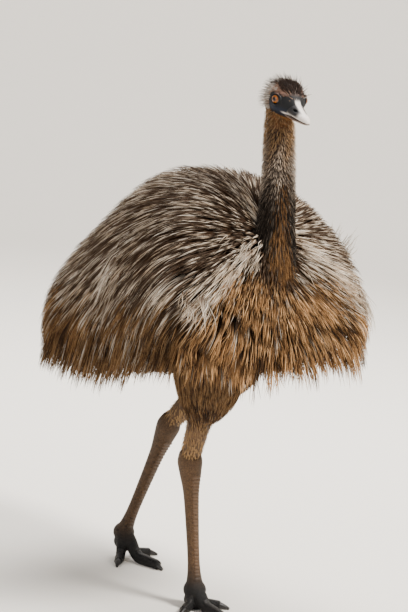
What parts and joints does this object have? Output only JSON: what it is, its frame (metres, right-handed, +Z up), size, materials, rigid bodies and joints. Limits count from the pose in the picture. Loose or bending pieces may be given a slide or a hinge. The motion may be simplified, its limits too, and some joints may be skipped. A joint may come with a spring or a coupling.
{
  "type": "emu",
  "caption": "Life-size still model of a walking emu with a shaggy coat, long neck and bare legs, head turned a little.",
  "frame": {"origin": "on the floor, at the middle of the model's box seen from above", "axes": "the bird faces -Y, its left side is +X and +Z is up"},
  "size_m": [0.7076, 0.983, 1.4908],
  "materials": {
    "horn": "satin horn",
    "eye": "glossy eye",
    "skin": "bare dry skin",
    "neck_feathers": "short bristly feathers",
    "coat": "long loose double feathers",
    "scales": "scaly dry skin",
    "claw": "satin horn"
  },
  "bodies": {
    "root": {"bill_upper": "horn", "bill_lower": "horn", "eye_left": "eye", "eye_right": "eye", "head": "skin", "neck_upper": "neck_feathers", "neck_lower": "neck_feathers", "torso": "coat", "tail": "coat", "wing_left": "coat", "wing_right": "coat", "thigh_left": "coat", "thigh_right": "coat", "shank_left": "scales", "shank_right": "scales", "foot_left": "scales", "foot_right": "scales", "claw_middle_left": "claw", "claw_inner_left": "claw", "claw_outer_left": "claw", "claw_middle_right": "claw", "claw_inner_right": "claw", "claw_outer_right": "claw"}
  },
  "joints": []
}
